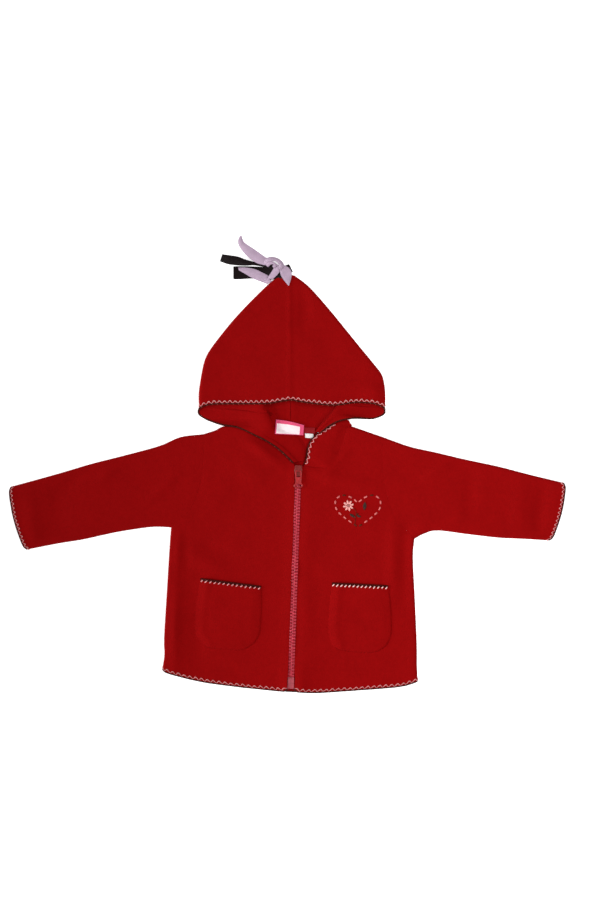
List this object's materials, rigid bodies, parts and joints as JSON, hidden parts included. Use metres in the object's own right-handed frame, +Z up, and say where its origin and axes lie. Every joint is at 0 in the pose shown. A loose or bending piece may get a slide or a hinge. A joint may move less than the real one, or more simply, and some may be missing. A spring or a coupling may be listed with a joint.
{
  "type": "baby's hooded fleece jacket, laid flat",
  "caption": "Baby's hooded zip jacket in red fleece, laid flat and closed, with a pointed hood, patch pockets, overlocked edges and ribbons at the peak.",
  "frame": {"origin": "middle of the whole garment's plan, on the surface that it lies on", "axes": "+X towards the wearer's left, +Y towards the hood's peak, +Z up from the surface"},
  "size_m": [0.639, 0.5234, 0.0118],
  "materials": {
    "fleece": "brushed polyester fleece, matt with a soft nap",
    "dark_thread": "dark brown overlock thread with a pale pink zigzag",
    "zip_tape": "woven polyester tape",
    "zip_plastic": "moulded plastic, slightly glossy",
    "neck_tape": "woven tape",
    "pink_label": "woven label, pink border and blank white field",
    "white_label": "woven label, blank",
    "lilac_ribbon": "satin ribbon",
    "dark_ribbon": "satin ribbon"
  },
  "bodies": {
    "jacket": {"back": "fleece", "front_left": "fleece", "front_right": "fleece", "sleeve_left": "fleece", "sleeve_right": "fleece", "hood_left": "fleece", "hood_right": "fleece", "hood_left_turn": "fleece", "pocket_left": "fleece", "pocket_right": "fleece", "hem_edging": "dark_thread", "hood_edging": "dark_thread", "hood_edging_turn": "dark_thread", "cuff_edging_left": "dark_thread", "cuff_edging_right": "dark_thread", "pocket_edging_left": "dark_thread", "pocket_edging_right": "dark_thread", "zip_tape_left": "zip_tape", "zip_tape_right": "zip_tape", "zip_chain_left": "zip_plastic", "zip_chain_right": "zip_plastic", "zip_box": "zip_plastic", "zip_slider": "zip_plastic", "ribbon_lilac_long": "lilac_ribbon", "ribbon_lilac_side": "lilac_ribbon", "ribbon_lilac_tail": "lilac_ribbon", "ribbon_knot": "lilac_ribbon", "ribbon_dark_long": "dark_ribbon", "ribbon_dark_side": "dark_ribbon", "ribbon_dark_tail": "dark_ribbon", "neck_tape": "neck_tape", "neck_label": "pink_label", "size_label": "white_label"},
    "pull_tab": {"zip_pull": "zip_plastic"}
  },
  "joints": [
    {"name": "pull_tab_hinge", "type": "hinge", "parent": "jacket", "child": "pull_tab", "pos_m": [0.01218, -0.00673, 0.00865], "axis": [-1, 0, 0], "range_deg": [0, 150]}
  ]
}
